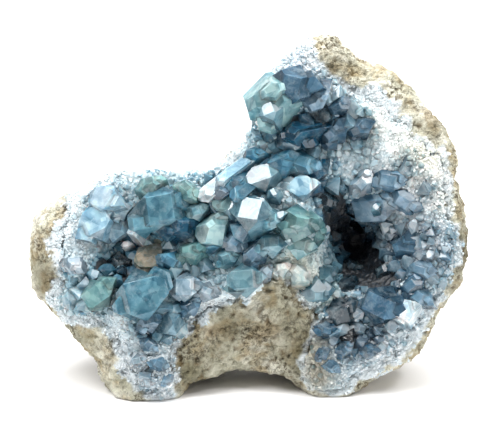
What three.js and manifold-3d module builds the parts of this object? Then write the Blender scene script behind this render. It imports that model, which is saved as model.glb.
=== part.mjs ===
// A celestite geode: a broken nodule of tan limestone, its hollow lined with blue celestite crystals.
// It stands on two feet under its open face and on two heels behind, and leans back a little.
//
// Units are millimetres. The stand frame is X across, Y from the open face to the back, Z up, with the
// origin on the table under the middle of the stone. The shapes are drawn in the face frame, which is
// the stand frame leaned back: x across, u up the open face and n straight out of it.

import * as THREE from 'three';
import { ConvexGeometry } from 'three/addons/geometries/ConvexGeometry.js';
import { ImprovedNoise } from 'three/addons/math/ImprovedNoise.js';
import { mergeVertices } from 'three/addons/utils/BufferGeometryUtils.js';
import Module from 'manifold-3d';

const wasm = await Module();
wasm.setup();
const noise = new ImprovedNoise();
const { clamp, degToRad, smoothstep } = THREE.MathUtils;

// Driving dimensions.
const LEAN = degToRad( 16 ); // how far the open face leans back from upright
const RIM_DEPTH = -18; // n of the stone's widest outline, behind the open face
const BACK_BULGE = 44; // how far the back stands behind that outline
const FRONT_REACH = 30; // how far the front could reach before it was broken open
const BACK_ROUND = 40; // width of the rounding of the back, measured in from the outline
const EDGE_ROUND = 8; // the same on the front, where the wall is broken off short
const RIM_ROUND = 7; // rounding of the broken edge itself
const OUTLINE_GROWTH = 2; // what that rounding and the depth of the rim take off the outline again
const CRUST_DEPTH = 10; // thickness of the sugary layer under the crystals
const SIX_SIDED = 14; // width from which a crystal has all six faces of its prism
const ROOT = 7; // how deep in it the large crystals begin
const SEAT_GAP = 0.4; // clearance between the crust and the rind under it
const SHARPEST = 0.25; // cosine of the sharpest edge that keeps the whole clearance
const CRUST_LIFT = 1.2; // lowest height of the crust above the table
const INTO_RIND = 5; // how far the sugary layer is drawn into the rind before the rind is cut out of it
const CELL = [ 8.8, 8.8, 11 ]; // facet size of the stone, across, up and front to back
const CRUST_CELL = [ 9.5, 9.5, 13 ]; // facet size of the sugary layer

// The stone's outline on the open face, as [ x, u ], clockwise from the left end. The feet run below
// the table, where they are cut flat.
const OUTLINE = [
	[ - 112, 77 ], [ - 111, 85 ], [ - 107, 93 ], [ - 101, 99 ], [ - 94, 102 ], [ - 85, 108 ],
	[ - 76, 111 ], [ - 63, 115 ], [ - 53, 116 ], [ - 36, 114 ], [ - 27, 112 ], [ - 18, 117 ],
	[ - 5, 126 ], [ 0, 133 ], [ 4, 142 ], [ 6, 152 ], [ 10, 162 ], [ 16, 170 ], [ 22, 175 ],
	[ 28, 180 ], [ 41, 183 ], [ 47, 180 ], [ 51, 173 ], [ 60, 169 ], [ 69, 166 ], [ 77, 161 ],
	[ 84, 152 ], [ 91, 143 ], [ 99, 133 ], [ 102, 126 ], [ 103, 108 ], [ 106, 101 ], [ 106, 93 ],
	[ 108, 85 ], [ 110, 77 ], [ 109, 71 ], [ 106, 65 ], [ 104, 58 ], [ 100, 52 ], [ 95, 47 ],
	[ 90, 41 ], [ 90, 33 ], [ 85, 26 ], [ 80, 21 ], [ 73, 17 ], [ 65, 12 ], [ 58, 8 ], [ 51, 2 ],
	[ 44, - 3 ], [ 35, - 3 ], [ 29, 5 ], [ 24, 10 ], [ 17, 13 ], [ 10, 15 ], [ 0, 15 ],
	[ - 7, 16 ], [ - 14, 14 ], [ - 20, 13 ], [ - 28, 12 ], [ - 33, 9 ], [ - 36, 2 ],
	[ - 40, - 6 ], [ - 47, - 8 ], [ - 56, - 7 ], [ - 64, - 2 ], [ - 70, 6 ], [ - 74, 13 ],
	[ - 76, 20 ], [ - 81, 26 ], [ - 87, 32 ], [ - 92, 38 ], [ - 94, 43 ], [ - 99, 47 ],
	[ - 104, 52 ], [ - 107, 58 ], [ - 110, 66 ],
];

// The part of the open face that the celestite covers. It runs past the outline at the top left,
// where the crust is broken off together with the stone.
const CRUST_ZONE = [
	[ - 98, 68 ], [ - 100, 75 ], [ - 99, 82 ], [ - 97, 89 ], [ - 94, 96 ], [ - 97, 106 ],
	[ - 85, 116 ], [ - 62, 123 ], [ - 36, 122 ], [ - 20, 126 ], [ - 8, 134 ], [ - 6, 150 ],
	[ 4, 170 ], [ 20, 186 ], [ 30, 181 ], [ 32, 172 ], [ 38, 165 ], [ 45, 162 ], [ 53, 160 ],
	[ 61, 156 ], [ 68, 151 ], [ 73, 147 ], [ 78, 142 ], [ 83, 137 ], [ 89, 131 ], [ 98, 126 ],
	[ 101, 118 ], [ 101, 104 ], [ 103, 92 ], [ 106, 82 ], [ 106, 70 ], [ 101, 60 ], [ 95, 51 ],
	[ 87, 44 ], [ 84, 35 ], [ 79, 27 ], [ 72, 21 ], [ 62, 16 ], [ 53, 11 ], [ 47, 5 ], [ 42, - 2 ],
	[ 33, 0 ], [ 27, 8 ], [ 25, 20 ], [ 27, 29 ], [ 31, 36 ], [ 34, 43 ], [ 25, 48 ], [ 19, 58 ],
	[ 10, 65 ], [ 6, 58 ], [ 0, 52 ], [ - 8, 48 ], [ - 18, 45 ], [ - 27, 39 ], [ - 33, 33 ],
	[ - 36, 25 ], [ - 36, 16 ], [ - 35, 8 ], [ - 38, - 4 ], [ - 50, - 6 ], [ - 56, 4 ],
	[ - 63, 11 ], [ - 67, 18 ], [ - 71, 27 ], [ - 70, 33 ], [ - 82, 36 ], [ - 90, 40 ],
	[ - 98, 46 ], [ - 103, 51 ], [ - 98, 57 ], [ - 96, 63 ],
];

// How the open face rises and falls from n = 4, as round swells: [ x, u, radius, height ].
const SWELLS = [
	[ 54, 79, 20, - 40 ], // the deep hollow
	[ 60, 92, 40, - 10 ], // the bowl around it
	[ 24, 88, 16, 16 ], // the ridge on its left
	[ 2, 99, 20, 9 ],
	[ 20, 150, 19, 12 ], // the overhang at the top
	[ 50, 128, 18, - 4 ],
	[ 86, 118, 22, 4 ],
	[ 98, 82, 18, 3 ],
	[ - 62, 80, 19, - 14 ], // the bowl at the left end
	[ - 38, 92, 18, 4 ],
	[ - 55, 50, 15, 8 ],
	[ - 92, 84, 16, 3 ],
	[ 2, 54, 18, 9 ], // the ledge over the arch
	[ 0, 18, 20, - 14 ],
	[ - 48, 16, 16, 3 ],
	[ 52, 42, 13, - 9 ], // the lower pocket
	[ 44, 10, 20, - 6 ],
	[ 84, 40, 20, - 2 ],
];
const FACE_LEVEL = 4;
const FACE_ROUGHNESS = 0.6; // how rough the broken face is, as a share of the outer skin's lumps

// Where the outer skin shows from the front, so the wall is rounded over more: [ x, u, radius, extra ].
const SHOULDERS = [
	[ 74, 166, 26, 22 ],
	[ 44, 184, 16, 12 ],
	[ 100, 140, 16, 14 ],
	[ - 110, 80, 18, 22 ],
	[ - 84, 30, 16, 8 ],
];

// The feet under the back: [ x, u, n, radius ].
const HEELS = [
	[ - 38, 34, - 48, 24 ],
	[ 36, 34, - 56, 24 ],
];
const HEEL_BLEND = 16; // width of the fillet where a heel runs into the back

// How much further the back stands out behind the larger lobe: [ x, u, radius, extra ].
const BACK_SWELLS = [ [ 55, 88, 60, 12 ] ];

// The large crystals, by the place of the head on the open face and by shape:
// [ x, u, stand, width, thickness, right, up, spin, crown ].
// stand is how far the head rises above the layer. right and up are the lean in degrees from straight
// out of the face, and spin the turn about the crystal's own length. crown is how much of the tip is
// cut off flat, from 0 to 1.
const CRYSTALS = {
	overhang: [
		[ 1, 148, 13, 25, 22, - 50, - 12, 20, 0.3 ],
		[ 21, 158, 9, 20, 16, - 25, 20, - 15, 0.6 ],
		[ 16, 134, 7, 13, 12, - 58, - 20, 10, 0.3 ],
		[ 31, 147, 8, 12, 10, - 10, - 35, 25, 0.4 ],
		[ 34, 139, 6, 10, 9, 5, - 50, - 15, 0.2 ],
		[ 40, 133, 7, 15, 13, - 12, - 14, 40, 0.6 ],
		[ 55, 137, 6, 14, 13, - 15, - 18, 5, 0.7 ],
		[ 25, 131, 6, 10, 9, - 20, - 10, - 35, 0.3 ],
		[ 13, 119, 7, 17, 14, - 12, 18, 20, 0.5 ],
		[ 26, 120, 7, 16, 14, 8, 8, - 20, 0.6 ],
		[ 35, 115, 5, 12, 11, 18, - 8, 35, 0.4 ],
		[ 0, 124, 5, 10, 8, - 30, 15, 0, 0.3 ],
	],
	ridge: [
		[ 4, 113, 8, 12, 12, - 12, 30, 18, 0.9 ],
		[ 1, 97, 9, 14, 13, - 15, 24, - 12, 0.9 ],
		[ 25, 106, 6, 15, 12, 5, 30, 8, 0.9 ],
		[ - 20, 103, 7, 10, 10, - 48, - 34, 0, 0.3 ],
		[ - 12, 106, 7, 10, 9, - 42, - 30, 20, 0.3 ],
		[ - 18, 88, 8, 16, 13, - 15, 24, 35, 0.2 ],
		[ - 21, 80, 5, 12, 11, - 10, - 5, 10, 0.4 ],
		[ 26, 90, 8, 18, 16, 10, 22, - 10, 0.5 ],
		[ 34, 83, 5, 11, 10, 26, 5, 25, 0.4 ],
		[ 25, 78, 5, 12, 11, 0, - 6, - 10, 0.5 ],
		[ 2, 74, 6, 13, 12, - 6, 0, 40, 0.4 ],
		[ 10, 79, 6, 12, 11, 5, 10, 5, 0.5 ],
		[ - 8, 81, 5, 11, 10, 0, 20, - 35, 0.4 ],
		[ - 12, 72, 5, 11, 10, - 10, - 6, 20, 0.4 ],
		[ - 3, 61, 7, 17, 14, 0, 6, 5, 0.8 ],
		[ 40, 61, 5, 12, 10, 22, - 10, 35, 0.3 ],
		[ 34, 53, 5, 15, 11, 10, - 20, 0, 0.3 ],
		[ 24, 66, 4, 11, 9, 0, 10, - 40, 0.4 ],
		[ 34, 107, 5, 12, 10, 28, 0, 15, 0.4 ],
		[ 40, 98, 5, 12, 10, 34, 4, - 20, 0.4 ],
	],
	leftBowl: [
		[ - 43, 98, 8, 28, 22, 5, 18, 10, 0.6 ],
		[ - 33, 90, 6, 18, 15, 12, 0, - 5, 0.5 ],
		[ - 32, 110, 5, 12, 10, - 10, 40, - 45, 0.4 ],
		[ - 50, 111, 5, 12, 10, - 14, 40, 10, 0.4 ],
		[ - 73, 102, 5, 13, 12, - 12, 36, - 25, 0.6 ],
		[ - 78, 93, 5, 14, 12, - 12, 12, 25, 0.6 ],
		[ - 69, 88, 5, 13, 12, 14, - 8, - 10, 0.5 ],
		[ - 52, 77, 5, 12, 10, 12, 4, 40, 0.3 ],
		[ - 32, 76, 6, 15, 10, - 24, 14, 5, 0.3 ],
		[ - 40, 70, 5, 12, 10, 0, - 8, - 30, 0.4 ],
		[ - 53, 56, 7, 23, 20, 5, - 6, 15, 0.7 ],
		[ - 44, 64, 5, 12, 10, 6, 0, - 15, 0.4 ],
		[ - 76, 57, 6, 16, 13, - 12, - 12, 35, 0.6 ],
		[ - 33, 60, 6, 13, 8, - 4, 22, 0, 0.6 ],
		[ - 90, 68, 4, 10, 9, - 22, 0, - 35, 0.3 ],
		[ - 50, 42, 5, 11, 9, 4, 12, 15, 0.4 ],
		[ - 22, 56, 5, 10, 9, 0, 12, - 20, 0.4 ],
		[ - 30, 48, 4, 11, 9, 4, 0, 30, 0.4 ],
		[ - 65, 69, 4, 11, 9, 4, - 8, - 5, 0.3 ],
	],
	leftFoot: [
		[ - 50, 29, 3, 8, 7, 4, 6, - 40, 0.4 ],
		[ - 56, 21, 3, 8, 7, - 8, 0, 10, 0.4 ],
		[ - 45, 19, 3, 9, 8, 8, - 4, - 25, 0.4 ],
		[ - 41, 11, 2, 8, 7, 10, - 8, 25, 0.4 ],
		[ - 51, 10, 2, 8, 7, - 6, - 8, - 10, 0.4 ],
	],
	rightHollow: [
		[ 61, 96, 10, 22, 19, - 28, - 28, 10, 0.7 ],
		[ 76, 99, 5, 17, 13, - 20, - 16, - 30, 0.5 ],
		[ 73, 77, 9, 19, 19, - 48, - 2, 25, 0.2 ],
		[ 84, 66, 4, 12, 10, - 20, 0, - 15, 0.4 ],
		[ 79, 58, 4, 12, 11, - 22, 8, 40, 0.4 ],
		[ 64, 49, 8, 24, 18, - 26, 16, - 25, 0.4 ],
		[ 75, 50, 4, 13, 11, - 16, 10, - 35, 0.4 ],
		[ 45, 43, 6, 15, 13, 6, - 14, 15, 0.4 ],
		[ 56, 37, 4, 11, 10, 0, 14, - 20, 0.4 ],
		[ 47, 26, 4, 10, 9, - 4, 6, 35, 0.4 ],
		[ 60, 26, 3, 9, 8, 2, 12, - 5, 0.4 ],
		[ 40, 18, 3, 10, 9, - 8, 0, - 40, 0.4 ],
		[ 34, 24, 3, 9, 8, - 16, 0, 30, 0.4 ],
		[ 68, 111, 4, 14, 12, - 16, - 12, - 10, 0.5 ],
		[ 55, 109, 5, 12, 11, - 10, - 18, 45, 0.4 ],
		[ 52, 68, 6, 10, 9, - 6, 20, - 30, 0.3 ],
		[ 66, 66, 6, 12, 10, - 34, 18, 25, 0.3 ],
	],
};

// ---- The face as a height above its frame ----

// A round swell of height 1, which falls off to a quarter at its radius.
function bell( x, u, [ cx, cu, radius ] ) {

	const share = Math.hypot( x - cx, u - cu ) / radius;
	return 4 ** ( - ( share ** 2 ) );

}

function sumOfBells( x, u, swells ) {

	return swells.reduce( ( sum, swell ) => sum + swell[ 3 ] * bell( x, u, swell ), 0 );

}

// The larger of two distances, with the edge between their surfaces rounded over.
function smoothMax( a, b, round ) {

	const near = Math.max( 0, 1 - Math.abs( a - b ) / round );
	return Math.max( a, b ) + near ** 2 * round / 4;

}

const smoothMin = ( a, b, round ) => - smoothMax( - a, - b, round );

// Distance from ( x, u ) in to the polygon's edge: positive inside, negative outside.
function insideDistance( x, u, polygon ) {

	let nearest = Infinity;
	let inside = false;
	for ( let i = 0, j = polygon.length - 1; i < polygon.length; j = i ++ ) {

		const [ ax, au ] = polygon[ j ];
		const [ bx, bu ] = polygon[ i ];
		const [ dx, du ] = [ bx - ax, bu - au ];
		const along = clamp( ( ( x - ax ) * dx + ( u - au ) * du ) / ( dx ** 2 + du ** 2 ), 0, 1 );
		nearest = Math.min( nearest, Math.hypot( x - ax - dx * along, u - au - du * along ) );
		if ( au > u !== bu > u && x < ax + dx * ( u - au ) / du ) inside = ! inside;

	}

	return inside ? nearest : - nearest;

}

const faceHeight = ( x, u ) => FACE_LEVEL + sumOfBells( x, u, SWELLS );

// The stone's lumps, large and small, as a height in millimetres.
function roughness( x, u, n ) {

	const lump = { size: 19, height: 2.6 };
	const pebble = { size: 8, height: 1.2, shift: 7 };
	const large = noise.noise( x / lump.size, u / lump.size, n / lump.size );
	const small = noise.noise( x / pebble.size, u / pebble.size, n / pebble.size + pebble.shift );
	return lump.height * large + pebble.height * small;

}

// The uncut nodule: an elliptical rounding in from the outline, wide behind and narrow in front. The
// field is close to a distance in millimetres, negative inside.
function noduleField( x, u, n ) {

	const inward = insideDistance( x, u, OUTLINE ) + OUTLINE_GROWTH;
	const rise = n - RIM_DEPTH;
	const reach = rise > 0 ? FRONT_REACH : BACK_BULGE + sumOfBells( x, u, BACK_SWELLS );
	const round = rise > 0 ? EDGE_ROUND + sumOfBells( x, u, SHOULDERS ) : BACK_ROUND;
	const inset = Math.max( 0, round - inward );
	const radial = Math.hypot( rise / reach, inset / round );
	const slope = Math.hypot( rise / reach ** 2, inset / round ** 2 );
	const core = - Math.min( reach, round ) / 2;
	const isDeep = radial < 0.5; // halfway to the middle the slope means nothing
	let field = isDeep ? core : Math.max( core, radial * ( radial - 1 ) / slope );
	for ( const [ hx, hu, hn, radius ] of HEELS ) {

		field = smoothMin( field, Math.hypot( x - hx, u - hu, n - hn ) - radius, HEEL_BLEND );

	}

	return field + roughness( x, u, n );

}

// The rind, with a bed cut in its face for the crust.
function rindField( x, u, n ) {

	const [ bedEdge, bedFloor ] = [ - 2, 14 ]; // distances in from the crust's edge
	const bed = CRUST_DEPTH * smoothstep( insideDistance( x, u, CRUST_ZONE ), bedEdge, bedFloor );
	const face = n - faceHeight( x, u ) + bed + FACE_ROUGHNESS * roughness( u, x, n );
	return smoothMax( noduleField( x, u, n ), face, RIM_ROUND );

}

// The sugary layer, made thick enough to reach into the rind, which is then cut out of it.
function layerField( x, u, n ) {

	const above = n - faceHeight( x, u );
	const below = - above - CRUST_DEPTH - INTO_RIND;
	return Math.max( noduleField( x, u, n ), above, below, - insideDistance( x, u, CRUST_ZONE ) );

}

// ---- Solids from fields and hulls ----

const JUST_INSIDE = 0.1; // how far inside a filled corner lies

// A grid cell's corners are numbered by bits: 1 along the first axis, 2 along the second, 4 the third.
const isFar = ( corner, axis ) => corner >> axis & 1;
const cornerOffset = ( corner, step ) => step[ 0 ] * isFar( corner, 0 )
	+ step[ 1 ] * isFar( corner, 1 ) + step[ 2 ] * isFar( corner, 2 );

// Fills the places where the surface would touch itself at an edge or a corner of the grid: in every
// cell the inside corners end up as one connected group, and the outside corners as another.
function settle( values, count, step ) {

	const offsets = Array.from( { length: 8 }, ( _, corner ) => cornerOffset( corner, step ) );
	for ( let changed = true; changed; ) {

		changed = false;
		for ( let k = 0; k < count[ 2 ] - 1; k ++ )
			for ( let j = 0; j < count[ 1 ] - 1; j ++ )
				for ( let i = 0; i < count[ 0 ] - 1; i ++ ) {

					const base = i + j * step[ 1 ] + k * step[ 2 ];
					const solid = offsets.map( ( offset ) => values[ base + offset ] < 0 );
					if ( groups( solid, true ) < 2 && groups( solid, false ) < 2 ) continue;
					const outside = offsets.map( ( offset ) => base + offset ).filter( ( at ) => values[ at ] >= 0 );
					const nearest = outside.reduce( ( a, b ) => values[ a ] < values[ b ] ? a : b );
					values[ nearest ] = - values[ nearest ] - JUST_INSIDE;
					changed = true;

				}

	}

}

// How many connected groups the corners of a cell that are as wanted make along the cell's edges.
function groups( solid, wanted ) {

	const seen = new Set();
	let count = 0;
	for ( let start = 0; start < 8; start ++ ) {

		if ( solid[ start ] !== wanted || seen.has( start ) ) continue;
		count ++;
		const queue = [ start ];
		for ( const corner of queue ) {

			seen.add( corner );
			for ( const bit of [ 1, 2, 4 ] ) {

				const next = corner ^ bit;
				if ( solid[ next ] === wanted && ! seen.has( next ) ) queue.push( next );

			}

		}

	}

	return count;

}

// The closed surface where the field crosses zero, with one vertex in each cell that it crosses.
function surfaceNet( field, low, high, cell ) {

	const count = low.map( ( v, k ) => Math.ceil( ( high[ k ] - v ) / cell[ k ] ) + 1 );
	const at = ( ...place ) => place.map( ( steps, axis ) => low[ axis ] + steps * cell[ axis ] );
	const step = [ 1, count[ 0 ], count[ 0 ] * count[ 1 ] ];
	const indexOf = ( i, j, k ) => i + j * step[ 1 ] + k * step[ 2 ];
	const values = new Float32Array( count[ 0 ] * count[ 1 ] * count[ 2 ] );
	for ( let k = 0; k < count[ 2 ]; k ++ )
		for ( let j = 0; j < count[ 1 ]; j ++ )
			for ( let i = 0; i < count[ 0 ]; i ++ )
				values[ indexOf( i, j, k ) ] = field( ...at( i, j, k ) );

	settle( values, count, step );
	const vertexOf = new Map();
	const positions = [];
	for ( let k = 0; k < count[ 2 ] - 1; k ++ )
		for ( let j = 0; j < count[ 1 ] - 1; j ++ )
			for ( let i = 0; i < count[ 0 ] - 1; i ++ ) {

				const base = indexOf( i, j, k );
				const sum = new THREE.Vector3();
				let crossings = 0;
				for ( let corner = 0; corner < 8; corner ++ )
					for ( let axis = 0; axis < 3; axis ++ ) {

						if ( isFar( corner, axis ) ) continue;
						const start = base + cornerOffset( corner, step );
						const [ a, b ] = [ values[ start ], values[ start + step[ axis ] ] ];
						if ( a < 0 === b < 0 ) continue;
						const crossing = [ 0, 1, 2 ].map( ( k ) => isFar( corner, k ) );
						crossing[ axis ] = a / ( a - b );
						sum.add( new THREE.Vector3( ...crossing ) );
						crossings ++;

					}

				if ( crossings === 0 ) continue;
				vertexOf.set( base, positions.length / 3 );
				sum.divideScalar( crossings );
				positions.push( ...at( i + sum.x, j + sum.y, k + sum.z ) );

			}

	const triangles = [];
	for ( let axis = 0; axis < 3; axis ++ ) {

		const b = step[ ( axis + 1 ) % 3 ];
		const c = step[ ( axis + 2 ) % 3 ];
		for ( const base of vertexOf.keys() ) {

			const inside = values[ base ] < 0;
			if ( inside === values[ base + step[ axis ] ] < 0 ) continue;
			const cells = [ base - b - c, base - c, base, base - b ];
			const ring = cells.map( ( around ) => vertexOf.get( around ) );
			if ( ! inside ) ring.reverse();
			triangles.push( ring[ 0 ], ring[ 1 ], ring[ 2 ], ring[ 0 ], ring[ 2 ], ring[ 3 ] );

		}

	}

	return new THREE.BufferGeometry()
		.setAttribute( 'position', new THREE.Float32BufferAttribute( positions, 3 ) )
		.setIndex( triangles );

}

function solidFrom( geometry ) {

	const bare = new THREE.BufferGeometry().setAttribute( 'position', geometry.getAttribute( 'position' ) );
	bare.setIndex( geometry.index );
	const merged = mergeVertices( bare, 1e-4 );
	return new wasm.Manifold( new wasm.Mesh( {
		numProp: 3,
		vertProperties: new Float32Array( merged.attributes.position.array ),
		triVerts: new Uint32Array( merged.index.array ),
	} ) );

}

function geometryFrom( solid ) {

	const mesh = solid.getMesh();
	return new THREE.BufferGeometry()
		.setAttribute( 'position', new THREE.Float32BufferAttribute( mesh.vertProperties, 3 ) )
		.setIndex( [ ...mesh.triVerts ] );

}

// The same solid with every face moved out, for cutting a neighbour clear of it. Each vertex moves
// along the direction that its faces share best, far enough for all of them to keep the distance.
// That direction is found by leaning a little towards the face that shares it least, many times.
function swollen( solid, by ) {

	const geometry = geometryFrom( solid );
	const { position } = geometry.attributes;
	const corners = geometry.index.array;
	const facings = Array.from( { length: position.count }, () => [] );
	const triangle = new THREE.Triangle();
	for ( let i = 0; i < corners.length; i += 3 ) {

		triangle.setFromAttributeAndIndices( position, corners[ i ], corners[ i + 1 ], corners[ i + 2 ] );
		const facing = triangle.getNormal( new THREE.Vector3() );
		for ( const vertex of corners.slice( i, i + 3 ) ) facings[ vertex ].push( facing );

	}

	const [ passes, lean ] = [ 40, 0.1 ];
	const moved = new THREE.Vector3();
	for ( let i = 0; i < position.count; i ++ ) {

		const outward = new THREE.Vector3();
		for ( const facing of facings[ i ] ) outward.add( facing );
		outward.normalize();
		const share = ( facing ) => facing.dot( outward );
		for ( let pass = 0; pass < passes; pass ++ ) {

			const least = facings[ i ].reduce( ( a, b ) => share( a ) < share( b ) ? a : b );
			outward.addScaledVector( least, lean ).normalize();

		}

		const reach = Math.max( SHARPEST, Math.min( ...facings[ i ].map( share ) ) );
		moved.fromBufferAttribute( position, i ).addScaledVector( outward, by / reach );
		position.setXYZ( i, moved.x, moved.y, moved.z );

	}

	return solidFrom( geometry );

}

// The convex solid inside a set of planes, given as [ normal, distance ].
function hullOfPlanes( planes ) {

	const [ parallel, onPlane ] = [ 1e-3, 1e-4 ];
	const corners = [];
	const turn = new THREE.Matrix3();
	for ( let a = 0; a < planes.length; a ++ )
		for ( let b = a + 1; b < planes.length; b ++ )
			for ( let c = b + 1; c < planes.length; c ++ ) {

				const [ pa, pb, pc ] = [ planes[ a ], planes[ b ], planes[ c ] ];
				turn.set( ...pa[ 0 ], ...pb[ 0 ], ...pc[ 0 ] );
				if ( Math.abs( turn.determinant() ) < parallel ) continue;
				const corner = new THREE.Vector3( pa[ 1 ], pb[ 1 ], pc[ 1 ] ).applyMatrix3( turn.invert() );
				if ( planes.every( ( [ normal, distance ] ) => corner.dot( normal ) < distance + onPlane ) ) {

					corners.push( corner );

				}

			}

	return new ConvexGeometry( corners );

}

// The planes of a celestite crystal along Z with its head at the origin: a prism of six faces under
// two pairs of domes, which meet a flat crown. Its faces stand at the angles of the mineral.
const PRISM_ANGLE = degToRad( 76 );
const LONG_DOME = degToRad( 39 );
const SHORT_DOME = degToRad( 52 );
const [ PRISM_UNEVEN, DOME_UNEVEN ] = [ 0.2, 0.6 ]; // how much the faces' distances vary

function crystalPlanes( width, thickness, crown, uneven ) {

	const facing = ( turn, tilt ) => new THREE.Vector3(
		Math.sin( tilt ) * Math.cos( turn ), Math.sin( tilt ) * Math.sin( turn ), Math.cos( tilt ),
	);
	const upright = Math.PI / 2;
	const longDome = width / 2 * crown * Math.sin( LONG_DOME );
	const shortDome = thickness / 2 * crown * Math.sin( SHORT_DOME );
	const planes = [ [ facing( 0, 0 ), 0 ] ];
	for ( const turn of [ 0, Math.PI ] ) {

		const across = turn + Math.PI / 2;
		planes.push(
			[ facing( across - PRISM_ANGLE / 2, upright ), thickness / 2 * uneven( PRISM_UNEVEN ) ],
			[ facing( across + PRISM_ANGLE / 2, upright ), thickness / 2 * uneven( PRISM_UNEVEN ) ],
			[ facing( turn, LONG_DOME ), longDome * uneven( DOME_UNEVEN ) ],
			[ facing( across, SHORT_DOME ), shortDome * uneven( DOME_UNEVEN ) ],
		);
		if ( width > SIX_SIDED ) planes.push( [ facing( turn, upright ), width / 2 * uneven( PRISM_UNEVEN ) ] );

	}

	return planes;

}

// A crystal on the face, leaning right and up by angles and turned about itself, with its root cut
// off inside the layer.
function planted( [ x, u, stand, width, thickness, right, up, spin, crown ], index ) {

	const head = new THREE.Vector3( x, u, faceHeight( x, u ) + stand );
	const out = new THREE.Vector3( 0, 0, 1 );
	const aim = new THREE.Vector3( Math.tan( degToRad( right ) ), Math.tan( degToRad( up ) ), 1 ).normalize();
	const turn = new THREE.Quaternion().setFromUnitVectors( out, aim );
	turn.multiply( new THREE.Quaternion().setFromAxisAngle( out, degToRad( spin ) ) );

	// No two faces of a crystal grow alike: each stands off by its own share, the same on every run.
	const [ perCrystal, perFace ] = [ 7.3, 2.1 ];
	let face = 0;
	const uneven = ( by ) => 1 + by * Math.sin( perCrystal * index + perFace * face ++ ) / 2;
	const planes = crystalPlanes( width, thickness, crown, uneven );
	for ( const [ normal ] of planes ) normal.applyQuaternion( turn );

	const root = head.clone().addScaledVector( aim, - stand / aim.z );
	root.z = faceHeight( root.x, root.y );
	const inward = new THREE.Vector3(
		faceHeight( root.x + 1, root.y ) - root.z, faceHeight( root.x, root.y + 1 ) - root.z, - 1,
	).normalize();
	planes.push(
		[ inward, inward.dot( root.clone().sub( head ) ) + ROOT ],
		[ aim.clone().negate(), stand / aim.z + ROOT + thickness / 2 ],
	);
	return hullOfPlanes( planes ).translate( ...head );

}

// ---- From the face frame to the stand frame ----

const faceToStand = new THREE.Matrix4().makeBasis(
	new THREE.Vector3( 1, 0, 0 ),
	new THREE.Vector3( 0, Math.sin( LEAN ), Math.cos( LEAN ) ),
	new THREE.Vector3( 0, - Math.cos( LEAN ), Math.sin( LEAN ) ),
);

const standing = ( geometry ) => solidFrom( geometry.applyMatrix4( faceToStand ) );

// Everything below a level, to cut away.
function below( level ) {

	const size = 400;
	return solidFrom( new THREE.BoxGeometry( size, size, size ).translate( 0, 0, level - size / 2 ) );

}

// The block of the face frame that holds the whole stone.
const LOW = [ - 125, - 20, - 95 ];
const HIGH = [ 125, 200, 45 ];

const HAIRS = [ 0.0005, 0.003, 0.01, 0.02, 0.05 ]; // what to try as the distance that joins vertices

// Joins the vertices closer than a hair and drops the triangles that collapse.
function welded( solid, hair ) {

	const merged = mergeVertices( geometryFrom( solid ), hair );
	const corners = merged.index.array;
	const kept = [];
	for ( let i = 0; i < corners.length; i += 3 ) {

		const [ a, b, c ] = corners.slice( i, i + 3 );
		if ( a !== b && b !== c && c !== a ) kept.push( a, b, c );

	}

	return merged.setIndex( kept );

}

// Whether every edge runs once each way, so that no two parts of the surface touch along one.
function isSimple( geometry ) {

	const corners = geometry.index.array;
	const edges = new Set();
	for ( let i = 0; i < corners.length; i ++ ) {

		const next = i % 3 === 2 ? i - 2 : i + 1;
		edges.add( corners[ i ] + ' ' + corners[ next ] );

	}

	return edges.size === corners.length;

}

// A solid without the slivers and crumbs that cuts leave: only the largest body stays.
function clean( solid ) {

	for ( const hair of HAIRS ) {

		const bodies = solidFrom( welded( solid, hair ) ).decompose();
		const largest = bodies.sort( ( a, b ) => b.volume() - a.volume() )[ 0 ];
		if ( isSimple( welded( largest, HAIRS[ 0 ] ) ) ) return largest;

	}

	throw new Error( 'the surface touches itself' );

}

const rind = clean( standing( surfaceNet( rindField, LOW, HIGH, CELL ) ).subtract( below( 0 ) ) );

const rows = Object.values( CRYSTALS ).flat();
const layer = standing( surfaceNet( layerField, LOW, HIGH, CRUST_CELL ) );
const grown = rows.reduce( ( solid, row, index ) => solid.add( standing( planted( row, index ) ) ), layer );
const crust = clean( grown.subtract( swollen( rind, SEAT_GAP ) ).subtract( below( CRUST_LIFT ) ) );

// ---- The part ----

const facetted = ( color, roughness ) => new THREE.MeshStandardMaterial( {
	color, roughness, metalness: 0, flatShading: true,
} );
const limestone = facetted( 0xc9bf9f, 0.95 );
const celestite = facetted( 0x8fb0c0, 0.2 );

const geode = new THREE.Group();

function addPiece( name, solid, material ) {

	const mesh = new THREE.Mesh( geometryFrom( solid ), material );
	mesh.name = name;
	geode.add( mesh );

}

addPiece( 'rind', rind, limestone );
addPiece( 'crystal_crust', crust, celestite );

// The origin goes to the middle of the stone, on the table.
const middle = new THREE.Box3().setFromObject( geode ).getCenter( new THREE.Vector3() );
geode.position.set( - middle.x, - middle.y, 0 );

export default geode;
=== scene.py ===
"""The looks of a celestite geode: a broken limestone nodule whose open face is lined with blue crystals.

The shapes are worked out in the face frame, in millimetres: x across the open face, u up it and n straight
out of it. The face leans back from the table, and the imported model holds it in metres.
"""

import itertools
import math
import random

import bmesh
import bpy
import numpy as np
from mathutils import Euler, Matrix, Quaternion, Vector, noise
from mathutils.bvhtree import BVHTree
from mathutils.kdtree import KDTree


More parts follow.
